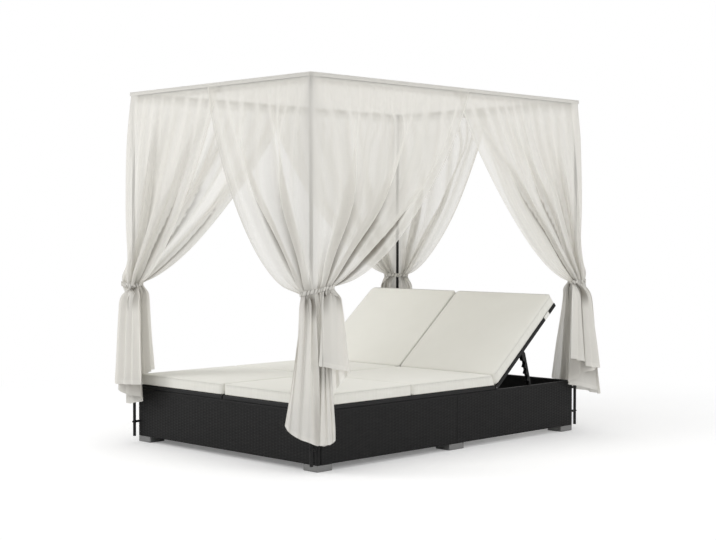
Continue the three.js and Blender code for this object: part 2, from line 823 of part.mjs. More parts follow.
function curtainGeometry(signX, signY, hem) {
  const width_columns = Math.round(width_folds * columns_per_fold)
  const corner_columns = Math.round(corner_folds * columns_per_fold)
  const length_columns = Math.round(length_folds * columns_per_fold)
  const columns = width_columns + corner_columns + length_columns
  const upper_shares = [1, 0.88, 0.76, 0.62, 0.46, 0.3, 0.14, 0]
  const lower_shares = [0, 0.12, 0.35, 0.65, 1]
  const rows = upper_shares.length + lower_shares.length - 1
  const levelOf = (row) => {
    if (row < upper_shares.length) {
      const z = share(tie_top, tube_top_z, upper_shares[row])
      return { z: () => z, section: sectionAbove(z) }
    }
    const drop = lower_shares[row - upper_shares.length]
    return { z: (hemZ) => share(tie_bottom, hemZ, drop), section: sectionBelow(drop) }
  }
  const point = (column, row, side) => {
    const level = levelOf(row)
    const { widthLeg, lengthLeg, offset, fold } = level.section
    const wave = Math.sin((2 * Math.PI * column) / columns_per_fold)
    const out = offset + fold * wave + side * (curtain_thickness / 2)
    if (column <= width_columns) {
      const along = 1 - column / width_columns
      const z = level.z(share(hem[1], hem[0], along))
      return new THREE.Vector3(pole_x - widthLeg * along, pole_y + out, z)
    }
    if (column >= width_columns + corner_columns) {
      const along = (column - width_columns - corner_columns) / length_columns
      const z = level.z(share(hem[1], hem[2], along))
      return new THREE.Vector3(pole_x + out, pole_y - lengthLeg * along, z)
    }
    const turn = (1 - (column - width_columns) / corner_columns) * (Math.PI / 2)
    return new THREE.Vector3(
      pole_x + out * Math.cos(turn),
      pole_y + out * Math.sin(turn),
      level.z(hem[1]),
    )
  }
  const sheet = closedSheet(
    columns,
    rows,
    (column, row) => point(column, row, 1),
    (column, row) => point(column, row, -1),
  )
  return mirrored(sheet, signX, signY)
}

// Tie band: a closed strap round the gathered cloth and its pole
function tieOutline(radius) {
  const outline = new THREE.Path()
  const inner_turn = Math.atan2(waist_width_leg + waist_offset, waist_length_leg + waist_offset)
  outline.absarc(pole_x + waist_offset, pole_y - waist_length_leg, radius, inner_turn - Math.PI, 0)
  outline.absarc(pole_x, pole_y, waist_offset + radius, 0, Math.PI / 2)
  outline.absarc(pole_x - waist_width_leg, pole_y + waist_offset, radius, Math.PI / 2, inner_turn + Math.PI)
  outline.closePath()
  return outline
}

function tieGeometry(signX, signY) {
  const inside = waist_fold + curtain_thickness / 2 + tie_gap
  const shape = new THREE.Shape(tieOutline(inside + tie_thickness).getPoints(2))
  shape.holes.push(new THREE.Path(tieOutline(inside).getPoints(2)))
  const band = mergeVertices(extrude(shape, tie_bottom + fit_gap, tie_top - fit_gap))
  return mirrored(band, signX, signY)
}

function buildCloth() {
  const cloth = new THREE.Group()
  cloth.add(piece('roof_cloth', roofGeometry(), 'curtain'))
  for (const [end, signY] of [['foot', -1], ['head', 1]]) {
    for (const [side, signX] of [['left', -1], ['right', 1]]) {
      const corner = `${end}_${side}`
      cloth.add(piece(`curtain_${corner}`, curtainGeometry(signX, signY, hems[corner]), 'curtain'))
      cloth.add(piece(`tie_band_${corner}`, tieGeometry(signX, signY), 'curtain'))
    }
  }
  return cloth
}

const daybed = new THREE.Group()
daybed.add(buildBase(), buildBed('left', -1), buildBed('right', 1), buildCanopy(), buildCloth())

export default daybed
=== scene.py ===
import json
import math
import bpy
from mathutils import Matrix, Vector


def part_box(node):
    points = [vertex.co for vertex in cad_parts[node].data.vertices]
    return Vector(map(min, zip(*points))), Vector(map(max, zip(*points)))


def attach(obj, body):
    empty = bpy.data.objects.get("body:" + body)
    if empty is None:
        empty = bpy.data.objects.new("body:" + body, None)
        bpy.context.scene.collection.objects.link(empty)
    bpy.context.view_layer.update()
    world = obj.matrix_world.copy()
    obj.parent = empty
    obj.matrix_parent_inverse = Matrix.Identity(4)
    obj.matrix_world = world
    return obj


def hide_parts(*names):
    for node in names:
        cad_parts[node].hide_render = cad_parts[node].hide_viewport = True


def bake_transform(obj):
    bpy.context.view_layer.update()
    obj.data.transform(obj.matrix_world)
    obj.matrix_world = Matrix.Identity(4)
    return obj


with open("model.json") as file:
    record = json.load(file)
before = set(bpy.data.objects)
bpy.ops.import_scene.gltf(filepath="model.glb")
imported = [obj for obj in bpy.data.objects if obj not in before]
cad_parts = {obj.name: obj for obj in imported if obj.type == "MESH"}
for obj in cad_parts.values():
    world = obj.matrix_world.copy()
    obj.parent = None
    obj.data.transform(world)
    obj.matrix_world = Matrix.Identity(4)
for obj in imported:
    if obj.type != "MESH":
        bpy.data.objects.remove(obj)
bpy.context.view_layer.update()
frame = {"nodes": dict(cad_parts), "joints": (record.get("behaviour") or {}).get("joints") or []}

from types import SimpleNamespace

import bmesh
import bpy
from mathutils import Matrix, Vector, noise

# The woven skirt of the base: flat black plastic strip, woven level in front of and behind
# upright stakes on steel panel frames, and wound closely over each panel's top rim.
strip_height, strip_pitch = .0062, .0072
strip_swing, strip_crown, strip_out = .0014, .0006, .0002
strip_squareness = .65
stake_pitch, stake_width = .022, .006
stake_out, stake_crown = .0005, .0008
panel_border, panel_foot = .004, .002
rim_height, rim_strip = .0125, .0068
rim_turn, rim_chamfer = .005, .3
rim_proud, rim_pressed = .0009, .0001
wound_roundness = .6
bend_steps = 4
sides = {"left": -1, "right": 1}
ends = {"foot": -1, "head": 1}


class Amount:
    """A number or colour that changes over a surface, and can be written in sums."""

    def __init__(self, finish, socket):
        self.finish = finish
        self.socket = socket

    def maths(self, operation, *values):
        settings = {"operation": operation}
        return self.finish.node("Math", settings, dict(enumerate(values)))

    def __add__(self, other):
        return self.maths("ADD", self, other)

    __radd__ = __add__

    def __sub__(self, other):
        return self.maths("SUBTRACT", self, other)

    def __rsub__(self, other):
        return self.maths("SUBTRACT", other, self)

    def __mul__(self, other):
        return self.maths("MULTIPLY", self, other)

    __rmul__ = __mul__

    def __pow__(self, other):
        return self.maths("POWER", self, other)

    def __rpow__(self, other):
        return self.maths("POWER", other, self)

    def below(self, limit):
        return self.maths("LESS_THAN", self, limit)

    def above(self, limit):
        return self.maths("GREATER_THAN", self, limit)

    def at_least(self, limit):
        return self.maths("MAXIMUM", self, limit)


class Finish:
    """A finish for one kind of surface, kept as the nodes of a material or a world."""

    def __init__(self, owner):
        owner.use_nodes = True
        self.owner = owner
        self.tree = owner.node_tree
        self.tree.nodes.clear()

    def node(self, kind, settings=None, inputs=None, output=0):
        made = self.tree.nodes.new("ShaderNode" + kind)
        for setting, value in (settings or {}).items():
            setattr(made, setting, value)
        for socket, value in (inputs or {}).items():
            if isinstance(value, Amount):
                self.tree.links.new(value.socket, made.inputs[socket])
            else:
                made.inputs[socket].default_value = value
        return Amount(self, made.outputs[output])

    def blend(self, share, first, second):
        settings = {"data_type": "RGBA"}
        return self.node("Mix", settings, {0: share, 6: first, 7: second}, 2)

    def grain(self, place, scale, detail=2.0, stretch=(1, 1, 1)):
        spot = self.node("Mapping", {}, {"Vector": place, "Scale": stretch})
        sockets = {"Vector": spot, "Scale": scale, "Detail": detail}
        return self.node("TexNoise", {}, sockets)

    def relief(self, height, strength, depth):
        return self.node("Bump", {}, {"Height": height, "Strength": strength, "Distance": depth})

    def done(self, shader):
        kind = "OutputWorld" if isinstance(self.owner, bpy.types.World) else "OutputMaterial"
        end = self.tree.nodes.new("ShaderNode" + kind)
        self.tree.links.new(shader.socket, end.inputs["Surface"])
        return self.owner


def strip_finish(name, stretch):
    """Black plastic strip with fine ribs along its length and strips of uneven darkness."""
    finish = Finish(bpy.data.materials.new(name))
    place = finish.node("TexCoord", output="Object")
    ribs = finish.grain(place, 60, 2, stretch)
    batches = finish.grain(place, 34, 1, tuple(4 if along > 10 else .5 for along in stretch))
    weathering = finish.grain(place, 5, 3)
    colour = finish.blend(batches, (.0068, .0068, .0072, 1), (.0155, .0155, .0155, 1))
    colour = finish.blend(weathering * .3, colour, (.017, .0165, .0155, 1))
    rough = .42 + ribs * .14 + weathering * .1
    bump = finish.relief(ribs, .35, .0006)
    shader = finish.node("BsdfPrincipled", {}, {
        "Base Color": colour, "Roughness": rough, "Normal": bump, "Specular IOR Level": .14})
    return finish.done(shader)


level_strip = strip_finish("level_strip", (1, 1, 30))
rim_strip_along_x = strip_finish("rim_strip_along_x", (30, 1, 1))
rim_strip_along_y = strip_finish("rim_strip_along_y", (1, 30, 1))


def mesh_of(name, shape):
    mesh = bpy.data.meshes.new(name)
    shape.to_mesh(mesh)
    shape.free()
    return mesh


def placed(name, data):
    """A new object in the scene, made of a mesh, a lamp or a camera."""
    made = bpy.data.objects.new(name, data)
    bpy.context.collection.objects.link(made)
    return made


def piece(name, shape, finish, body):
    """A finished mesh as an object of its own, riding on its body."""
    mesh = mesh_of(name, shape)
    mesh.materials.append(finish)
    mesh.shade_smooth()
    made = placed(name, mesh)
    if body:
        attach(made, body)
    return made


def refinish(finish, slot, *nodes):
    for node in nodes:
        made = frame["nodes"][node]
        for place in made.material_slots:
            place.material = finish


def ribbon(shape, columns, rows, bend):
    """A strip of faces whose corners bend() puts in place, from its share along and across."""
    made = bmesh.ops.create_grid(shape, x_segments=columns, y_segments=rows, size=1)
    for corner in made["verts"]:
        corner.co = bend((corner.co.x + 1) / 2, (corner.co.y + 1) / 2)
    return made["verts"]


def face_outwards(shape):
    bmesh.ops.recalc_face_normals(shape, faces=shape.faces)


def on_panel(node, outward):
    """A way to place points on a panel's outer face: along it, upwards and out from it."""
    low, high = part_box(node)
    along = Vector((0, 1, 0)) if outward.x else Vector((1, 0, 0))
    start, end = low.dot(along), high.dot(along)
    face = max(low.dot(outward), high.dot(outward))

    def place(run, height, out):
        return along * run + outward * (face + out) + Vector((0, 0, height))

    return place, start, end, low.z, high.z


def weave(node, outward):
    """Level strips that pass in front of and behind the stakes, row by row, and the stakes."""
    place, start, end, bottom, top = on_panel(node, outward)
    start, end = start + panel_border, end - panel_border
    bottom, top = bottom + panel_foot, top - rim_height
    stakes = round((end - start) / stake_pitch)
    rows = round((top - bottom) / strip_pitch)
    pitch = (top - bottom) / rows
    shape = bmesh.new()
    for row in range(rows):
        middle = bottom + (row + .5) * pitch
        turned = math.pi * (row % 2)

        def strip(share, across):
            swing = math.cos(share * stakes * math.pi + turned)
            swing = math.copysign(abs(swing) ** strip_squareness, swing)
            edge = 2 * across - 1
            out = strip_swing * swing + strip_out - strip_crown * edge * edge
            return place(start + share * (end - start), middle + edge * strip_height / 2, out)

        ribbon(shape, stakes * bend_steps, 2, strip)
    for number in range(stakes + 1):
        middle = start + number * (end - start) / stakes

        def stake(share, across):
            edge = 2 * across - 1
            out = stake_out - stake_crown * edge * edge
            return place(middle + edge * stake_width / 2, bottom + share * (top - bottom), out)

        ribbon(shape, 1, 2, stake)
    face_outwards(shape)
    for face in shape.faces:
        if face.normal.dot(outward) < 0:
            face.normal_flip()
    piece("weave_" + node, shape, level_strip, "base")


def rim(node, outward, finish):
    """Strip wound side by side over a panel's top rim, pressed flat where a lying backrest rests."""
    place, start, end, _, top = on_panel(node, outward)
    low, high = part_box(node)
    thick = (high - low).dot(Vector(map(abs, outward)))
    chamfer = -rim_turn * rim_chamfer
    profile = [(0, -rim_height), (0, -rim_turn), (chamfer, chamfer), (-rim_turn, 0)]
    profile += [(-thick - out, up) for out, up in reversed(profile)]
    strips = round((end - start) / rim_strip)
    shape = bmesh.new()

    def wound(share, across):
        out, up = profile[round(across * (len(profile) - 1))]
        swell = math.sin(math.pi * (share * strips % 1)) ** wound_roundness
        proud = rim_proud * swell
        lean = Vector((out + thick / 2, up + thick / 2)).normalized() * proud
        if up <= -rim_turn:
            lean = Vector((math.copysign(proud, out + thick / 2), 0))
        lift = min(lean.y, rim_pressed) if "head" in node else lean.y
        return place(start + share * (end - start), top + up + lift, out + lean.x)

    ribbon(shape, strips * bend_steps, len(profile) - 1, wound)
    face_outwards(shape)
    top_face = max(shape.faces, key=lambda face: face.calc_center_median().z)
    if top_face.normal.z < 0:
        bmesh.ops.reverse_faces(shape, faces=shape.faces)
    piece("rim_" + node, shape, finish, "base")


woven_panels = {"foot_panel": Vector((0, -1, 0)), "head_panel": Vector((0, 1, 0))}
for side, way in sides.items():
    for end in ends:
        woven_panels[f"side_panel_{end}_{side}"] = Vector((way, 0, 0))
for node, outward in woven_panels.items():
    weave(node, outward)
    rim(node, outward, rim_strip_along_x if outward.y else rim_strip_along_y)
    refinish(level_strip, "wicker", node)


# The four corner posts: square steel tube with rounded corners, each wound from foot to top
# with one layer of the same strip, and standing a little apart from the panels.
post_strip = .0068
post_proud = .0008
post_squareness = 5
post_sides = 32


def wound_post(node):
    """A square tube with rounded corners that swells at each turn of the strip round it."""
    low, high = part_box(node)
    centre = (low + high) / 2
    half = (high.x - low.x) / 2 - post_proud
    turns = round((high.z - low.z) / post_strip)
    shape = bmesh.new()

    def skin(share, around):
        angle = math.tau * around
        way = Vector((math.cos(angle), math.sin(angle)))
        square = (abs(way.x) ** post_squareness + abs(way.y) ** post_squareness) ** (-1 / post_squareness)
        swell = math.sin(math.pi * (share * turns % 1)) ** wound_roundness
        flat = way * square * (half + post_proud * (2 * swell - 1))
        return Vector((centre.x + flat.x, centre.y + flat.y, low.z + share * (high.z - low.z)))

    ribbon(shape, turns * bend_steps, post_sides, skin)
    bmesh.ops.remove_doubles(shape, verts=shape.verts, dist=1e-6)
    ends_of_post = [edge for edge in shape.edges if edge.is_boundary]
    bmesh.ops.holes_fill(shape, edges=ends_of_post)
    face_outwards(shape)
    made = piece("wound_" + node, shape, level_strip, "base")
    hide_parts(node)


for end in ends:
    for side in sides:
        wound_post(f"corner_post_{end}_{side}")


# The six block feet: cast metal blocks with softened edges, silver-grey and brushed level,
# one under each corner post and one under the seam half way along each long side.
def metal_finish(name, colour, metallic, rough, stretch, depth):
    """Bare metal, brushed along one direction and a little duller where hands have been."""
    finish = Finish(bpy.data.materials.new(name))
    place = finish.node("TexCoord", output="Object")
    brush = finish.grain(place, 90, 4, stretch)
    handling = finish.grain(place, 14, 3)
    darker = tuple(channel * .78 for channel in colour[:3]) + (1,)
    shade = finish.blend(brush * .6 + handling * .4, darker, colour)
    worn = rough - .08 + brush * .1 + handling * .08
    shader = finish.node("BsdfPrincipled", {}, {
        "Base Color": shade, "Metallic": metallic, "Roughness": worn,
        "Normal": finish.relief(brush, .25, depth)})
    return finish.done(shader)


block_metal = metal_finish("block_metal", (.27, .27, .267, 1), .7, .45, (1, 1, 22), .0004)
feet = [node for node in frame["nodes"] if node.startswith("foot_block")]
refinish(block_metal, "block_feet", *feet)


# The steel work: rails, slatted bed frames, raised backrest frames, notched supports and
# the rod that their notches catch, all of tube and flat bar with a black powder coat. Only
# the hinge rods are zinc plated.
def powder_finish():
    """Black powder coat: a fine peel, rubbed a little brighter in places, with some dust."""
    finish = Finish(bpy.data.materials.new("black_powder_coat"))
    place = finish.node("TexCoord", output="Object")
    peel = finish.grain(place, 900, 2)
    rubbing = finish.grain(place, 22, 4)
    dust = finish.grain(place, 6, 2)
    colour = finish.blend(rubbing, (.004, .004, .0043, 1), (.009, .009, .0093, 1))
    colour = finish.blend(dust * .2, colour, (.018, .0175, .0165, 1))
    shader = finish.node("BsdfPrincipled", {}, {
        "Base Color": colour, "Roughness": .40 + peel * .1 + rubbing * .12,
        "Normal": finish.relief(peel, .3, .0003), "Specular IOR Level": .25})
    return finish.done(shader)


powder_coat = powder_finish()
steel_work = ["centre_rail", "cross_rail", "catch_rod"]
for side in sides:
    steel_work += [f"seat_frame_{side}", f"backrest_frame_{side}", f"support_{side}"]
refinish(powder_coat, "black_steel", *steel_work)

zinc = metal_finish("zinc", (.16, .16, .165, 1), 1.0, .42, (1, 1, 1), .0002)
refinish(zinc, "zinc_fixings", "hinge_rod_left", "hinge_rod_right")


# The two mattresses: foam in cream woven covers, each in three sections, lying on the slats
# and up the backrest, with boxed sides gathered into a seam along their top and bottom edges.
def measured(node):
    """A node's lowest corner, middle and highest corner, to a tenth of a millimetre."""
    low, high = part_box(node)
    return [[round(value, 4) for value in spot] for spot in (low, (low + high) / 2, high)]


hinge = {joint["name"]: joint for joint in frame["joints"]}["backrest_right_hinge"]
hinge_place = Vector((0, *hinge["pos_m"][1:]))
recline = math.radians(-hinge["range_deg"][0])
seat_low, _, seat_high = measured("mattress_seat_right")
inner_ease, side_ease, end_ease, under_ease = .0002, .0015, .002, .0001
mattress_half_gap, mattress_outer = seat_low[0] + inner_ease, seat_high[0] - side_ease
foot_end, mattress_bottom = seat_low[1] + end_ease, seat_low[2] + under_ease
fold = -.32
back_reach = .650
mattress_thick, mattress_crown = .056, .0045
edge_round, edge_reach, under_share = .006, .016, .6
corner_turn = .022
side_swell, side_tuck, side_skin = .002, .003, .002
seam_width = .0022
crack = .0016
grid_pitch, side_cuts = .0125, 5


def mattress_finish():
    """Cream canvas with a fine weft, gathered on its boxed sides into a seam above and below, with painted
    shade darkening the gathers.
    """
    finish = Finish(bpy.data.materials.new("mattress_canvas"))
    place = finish.node("TexCoord", output="Object")
    weft = finish.grain(place, 260, 2, (1, 1, 1))
    mottle = finish.grain(place, 9, 3)
    soft = finish.grain(place, 45, 2)
    on_side = finish.node("UVMap")
    up_side = finish.node("SeparateXYZ", {}, {"Vector": on_side}, "Y")
    boxed = finish.node("Attribute", {"attribute_name": "boxed"}, {}, "Fac")
    gathers = finish.grain(on_side, 88, 2, (1, .10, 1)) * boxed
    seams = (up_side.above(mattress_thick - seam_width) + up_side.below(seam_width)) * boxed.above(.85)
    colour = finish.blend(mottle, (.800, .792, .735, 1), (.835, .828, .775, 1))
    colour = finish.blend(weft * .25, colour, (.70, .69, .63, 1))
    # Painted shade: the boxed sides darken along their gathers; the seams darken as well.
    colour = finish.blend(gathers * .30 + seams * .22, colour, (.55, .53, .47, 1))
    height = weft * .35 + soft * .65 + gathers * 3.4 - seams * 2
    shader = finish.node("BsdfPrincipled", {}, {
        "Base Color": colour, "Roughness": .86 + weft * .1, "Sheen Weight": .25, "Sheen Roughness": .5,
        "Specular IOR Level": .2, "Normal": finish.relief(height, .35, .0012)})
    return finish.done(shader)


canvas = mattress_finish()


def smooth_step(value, start=0.0, end=1.0):
    share = min(max((value - start) / (end - start), 0), 1)
    return share * share * (3 - 2 * share)


def lay_map(shape, layer, spot):
    """Gives each corner of each face its place on the flat cloth, which spot() says."""
    for face in shape.faces:
        for loop in face.loops:
            loop[layer].uv = spot(loop.vert)


def boxed_cushion(length, width):
    """A crowned, closed box of cloth from 0 to its width, length and thickness in x, y and z."""
    shape = bmesh.new()
    boxed = shape.verts.layers.float.new("boxed")
    on_side = shape.loops.layers.uv.new("on_side")
    columns, rows = round(width / grid_pitch), round(length / grid_pitch)
    ribbon(shape, columns, rows, lambda x, y: Vector((x * width, y * length, 0)))
    made = bmesh.ops.extrude_face_region(shape, geom=shape.faces[:])
    risen = [item for item in made["geom"] if isinstance(item, bmesh.types.BMVert)]
    bmesh.ops.translate(shape, verts=risen, vec=(0, 0, mattress_thick))
    upright = [edge for edge in shape.edges if abs(edge.verts[0].co.z - edge.verts[1].co.z) > .01]
    bmesh.ops.subdivide_edges(shape, edges=upright, cuts=side_cuts, use_grid_fill=True)
    face_outwards(shape)
    lay_map(shape, on_side, lambda corner: (corner.co.x + corner.co.y, corner.co.z))
    for corner in shape.verts:
        x, y, z = corner.co
        level = z / mattress_thick
        dx, dy = x - width / 2, y - length / 2
        over_x = max(0, abs(dx) - (width / 2 - corner_turn))
        over_y = max(0, abs(dy) - (length / 2 - corner_turn))
        if over_x > 0 and over_y > 0:
            scale = max(over_x, over_y) / math.hypot(over_x, over_y)
            dx = math.copysign(width / 2 - corner_turn + over_x * scale, dx)
            dy = math.copysign(length / 2 - corner_turn + over_y * scale, dy)
        near_x = 1 - abs(dx) / (width / 2)
        near_y = 1 - abs(dy) / (length / 2)
        inward = min(near_x * width / 2, near_y * length / 2)
        round_off = edge_round * (1 - smooth_step(inward, 0, edge_reach))
        if level > .99:
            z += mattress_crown * (1 - (1 - near_x) ** 4) * (1 - (1 - near_y) ** 4) - round_off
        elif level < .01:
            z += round_off * under_share
        bulge = side_swell * math.sin(math.pi * level) - side_tuck * (abs(2 * level - 1) ** 3)
        corner[boxed] = inward < side_skin
        if inward < side_skin:
            if near_x * width < near_y * length:
                dx += math.copysign(bulge, dx)
            else:
                dy += math.copysign(bulge, dy)
        corner.co = (dx + width / 2, dy + length / 2, z)
    return shape


def mattress(side, way):
    """Three boxed cushions end to end, their ends cut so that they meet over the hinge."""
    width = mattress_outer - mattress_half_gap
    # Where a section starts and ends, whether it lies on the backrest, and which ends lean
    sections = [
        (foot_end, fold - crack / 2, False, 0, 0),
        (fold + crack / 2, hinge_place.y, False, 0, 1),
        (0, back_reach, True, 1, 0),
    ]
    whole = bmesh.new()
    for start, end, raised, lean_start, lean_end in sections:
        length = end - start
        part = boxed_cushion(length, width)
        for corner in part.verts:
            x, y, z = corner.co
            lift = z + (mattress_bottom - hinge_place.z)
            lean = lift * math.tan(recline / 2) + crack / 2
            share = y / length
            y += lean * lean_start * (1 - share) - lean * lean_end * share
            if raised:
                spot = Vector((0, y, lift))
                spot = Matrix.Rotation(recline, 3, "X") @ spot + hinge_place
            else:
                spot = Vector((0, start + y, mattress_bottom + z))
            spot.x = way * (mattress_half_gap + x)
            corner.co = spot
        face_outwards(part)
        mesh = mesh_of("section", part)
        whole.from_mesh(mesh)
        bpy.data.meshes.remove(mesh)
    made = piece(f"mattress_{side}", whole, canvas, None)
    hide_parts(f"mattress_seat_{side}", f"mattress_back_{side}")
    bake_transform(made)


for side, way in sides.items():
    mattress(side, way)


# Two broad elastic straps of ribbed webbing, one drawn under each backrest frame from edge to
# edge, that hold the mattress to the frame.
strap_width, strap_thick = .048, .0010
strap_from_hinge = .545
strap_under, strap_over = -.0106, .0104
strap_rise = .003
strap_step = .02


def strap_finish():
    """White elastic webbing with fine ribs across the band."""
    finish = Finish(bpy.data.materials.new("elastic_webbing"))
    place = finish.node("TexCoord", output="Object")
    ribs = finish.node("TexWave", {"bands_direction": "X"}, {"Vector": place, "Scale": 260.0})
    soft = finish.grain(place, 60, 3)
    colour = finish.blend(soft, (.74, .73, .68, 1), (.82, .81, .77, 1))
    height = ribs * .6 + soft * .4
    shader = finish.node("BsdfPrincipled", {}, {
        "Base Color": colour, "Roughness": .8, "Normal": finish.relief(height, .4, .0008)})
    return finish.done(shader)


webbing = strap_finish()


def strap(side, way):
    """A band up one edge of the frame, across below it and up the other edge."""
    frame_low, _, frame_high = measured("backrest_frame_right")
    inner, outer = frame_low[0], frame_high[0]
    round_edge = [(-.0012, strap_over + .004), (-.0014, strap_under + .003), (.003, strap_under - .0002)]
    outline = [(inner + inward, lift) for inward, lift in round_edge]
    outline += [(outer - inward, lift) for inward, lift in reversed(round_edge)]
    stops = []
    for (x, lift), (next_x, next_lift) in zip(outline, outline[1:]):
        steps = max(2, round(abs(next_x - x) / strap_step))
        for step in range(steps):
            part = step / steps
            stops.append((x + (next_x - x) * part, lift + (next_lift - lift) * part))
    stops.append(outline[-1])
    shape = bmesh.new()

    def band(share, across):
        x, lift = stops[round(share * (len(stops) - 1))]
        lift += strap_rise * math.sin(math.pi * share) ** 2
        y = strap_from_hinge + (across - .5) * strap_width
        spot = Matrix.Rotation(recline, 3, "X") @ Vector((0, y, lift)) + hinge_place
        spot.x = way * x
        return spot

    ribbon(shape, len(stops) - 1, 6, band)
    face_outwards(shape)
    bmesh.ops.solidify(shape, geom=shape.faces[:], thickness=strap_thick)
    face_outwards(shape)
    piece(f"strap_{side}", shape, webbing, f"backrest_{side}")


for side, way in sides.items():
    strap(side, way)


# The canopy frame: four upright steel tubes bolted to the base on spacers, and four top tubes
# that plug on to corner pieces, all with their bolts in the same black powder coat.
canopy_steel = [f"top_tube_{name}" for name in ("foot", "head", "left", "right")]
for end in ends:
    for side in sides:
        canopy_steel += [f"pole_{end}_{side}", f"connector_{end}_{side}"]
        canopy_steel += [f"bolt_low_{end}_{side}", f"bolt_high_{end}_{side}"]
refinish(powder_coat, "black_steel", *canopy_steel)


# The four curtains: sheer cream voile, each one cut as a rectangle, threaded by a pocket on
# the top tubes round one corner, laid in folds and drawn in to its pole at waist height.
pole_x, pole_y = measured("pole_head_right")[1][:2]
tube_z = measured("top_tube_right")[1][2]
waist_z = measured("tie_band_head_right")[1][2]
tube_radius, tube_bend = .008, .015
fall = tube_z - tube_radius - waist_z
cloth_width, cloth_length = 1.84, 1.69
pocket_length = .075
side_hem, end_hem = .011, .022
columns, fan_rows, tail_rows = 184, 60, 40
pole_notch, pressed_rows = (.020, .045), 6
rod_gather, rod_ripple = .052, .0004
pocket = [(.0075, -.037), (-.003, -.028), (-.0102, -.014), (-.0104, 0), (-.0072, .0078),
          (0, .0112), (.0072, .0082), (.0104, .001)]
cloth_out, least_out = .0108, .0100
overlap, pile_out = .003, .012
gather_pitch, gather_height = .088, .0048
ray_pitch, ray_wobble = .089, 2.4
pucker_pitch, pucker_height = .047, .0026
tail_pitch, tail_pucker, tail_sway = .094, .0022, .006
drift_along, drift_out = .016, .010
hem_bend = .05
tail_layers = 1.5


def voile_finish(name, clear):
    """Sheer cloth that lets light and view through, less where it lies double or in its creases, with painted
    shade darkening its colour and its glow in the creases.
    """
    finish = Finish(bpy.data.materials.new(name))
    thread = finish.node("UVMap")
    across = finish.node("SeparateXYZ", {}, {"Vector": thread}, "X")
    above_hem = finish.node("SeparateXYZ", {}, {"Vector": thread}, "Y")
    slub = finish.grain(thread, 30, 3, (14, 1, 1))
    cross = finish.grain(thread, 30, 3, (1, 14, 1))
    cloud = finish.grain(thread, 4, 2)
    doubled = finish.node("Attribute", {"attribute_name": "doubled"}, {}, "Fac")
    crease = finish.node("Attribute", {"attribute_name": "crease"}, {}, "Fac")
    # Painted shade: the colour laid into the creases of the folds and under their rolled edges.
    crease_shade_colour = (.13, .11, .08, 1)
    colour = finish.blend(cloud, (.815, .802, .762, 1), (.855, .843, .805, 1))
    colour = finish.blend(doubled * .4, colour, (.850, .831, .783, 1))
    # Painted shade: the colour darkens towards the shade colour where the folds' creases lie.
    colour = finish.blend(crease, colour, crease_shade_colour)
    threads = slub * .5 + cross * .5
    bump = finish.relief(threads, .25, .0008)
    front = finish.node("BsdfPrincipled", {}, {
        "Base Color": colour, "Roughness": .85, "Sheen Weight": .3, "Specular IOR Level": .1, "Normal": bump})
    glowing = finish.node("BsdfTranslucent", {}, {"Color": (.841, .826, .784, 1), "Normal": bump})
    # Painted shade: light passing through the cloth is darkened in the creases as well.
    shaded = finish.node("BsdfTranslucent", {}, {"Color": crease_shade_colour, "Normal": bump})
    through = finish.node("MixShader", {}, {0: crease, 1: glowing, 2: shaded})
    lets_through = (.44 - doubled * .12).at_least(.24)
    body = finish.node("MixShader", {}, {0: lets_through, 1: front, 2: through})
    open_weave = finish.node("BsdfTransparent", {}, {})
    hems = across.below(side_hem) + above_hem.below(end_hem) + across.above(cloth_width - side_hem)
    # The painted shade in the creases also lets less through.
    gaps = (clear - .05 + threads * .10) * clear ** (doubled + hems + crease)
    shader = finish.node("MixShader", {}, {0: gaps, 1: body, 2: open_weave})
    return finish.done(shader)


voile = voile_finish("voile", .36)
tie_voile = voile_finish("tie_voile", .12)


def plan(m, out, bend=tube_bend):
    """The plan place of a point: m along the tubes from the pole, out from their middle line."""
    if m < -bend:
        return pole_x + m + bend, pole_y + out
    if m > bend:
        return pole_x + out, pole_y - m + bend
    angle = (bend - m) / (2 * bend) * math.pi / 2
    return pole_x + out * math.cos(angle), pole_y + out * math.sin(angle)


def laid_folds(sections=23, steeper=.1, steps=64):
    """Sections through folds from open to closed: how far a thread lies ahead, and how high."""
    table = []
    for number in range(sections):
        steepest = number * steeper
        ahead, high, section = 0, 0, []
        for step in range(steps + 1):
            section.append((ahead, high))
            slope = steepest * math.cos(math.tau * (step + .5) / steps)
            ahead += math.cos(slope) / steps
            high += math.sin(slope) / steps
        spread = section[-1][0]
        lowest = min(high for ahead, high in section)
        table.append((spread, [(x - spread * n / steps, y - lowest) for n, (x, y) in enumerate(section)]))
    return table


fold_sections = laid_folds()


def fold_place(phase, spread):
    """A thread's place in a fold that leaves it the given share of its cloth's width."""
    number = 0
    while number < len(fold_sections) - 2 and fold_sections[number + 1][0] > spread:
        number += 1
    wide, open_section = fold_sections[number]
    narrow, closed_section = fold_sections[number + 1]
    mix = min(max((wide - spread) / (wide - narrow), 0), 1)
    step = phase % 1 * (len(open_section) - 1)
    low = int(step)
    high = min(low + 1, len(open_section) - 1)
    part = step - low
    values = []
    for axis in (0, 1):
        first = open_section[low][axis] * (1 - part) + open_section[high][axis] * part
        second = closed_section[low][axis] * (1 - part) + closed_section[high][axis] * part
        values.append(first * (1 - mix) + second * mix)
    return values


def fold_phase(beyond, widths):
    """Which part of which fold a thread is in, how wide the fold is, and how far past the last."""
    phase = -.25
    for width in widths:
        if beyond <= width:
            return phase + beyond / width, width, 0
        beyond -= width
        phase += 1
    return phase, widths[-1], beyond


rolled_edges = {}
edge_steps, first_step, crest_steps, last_step = 40, 8, 19, 58


def rolled_edge(spread, lean):
    """Where a fold's rolled edge lies, where the cloth behind it comes clear, and how far it juts out."""
    line = []
    for number in range(first_step, last_step):
        ahead, high = fold_place(number / edge_steps, spread)
        line.append((ahead + number / edge_steps * spread + lean * high, number / edge_steps))
    foremost, at = max(line[:crest_steps])
    clear = min([step for place, step in line if step > at + .05 and place > foremost] + [1.4])
    return at, clear, foremost - min(place for place, step in line if step >= at)


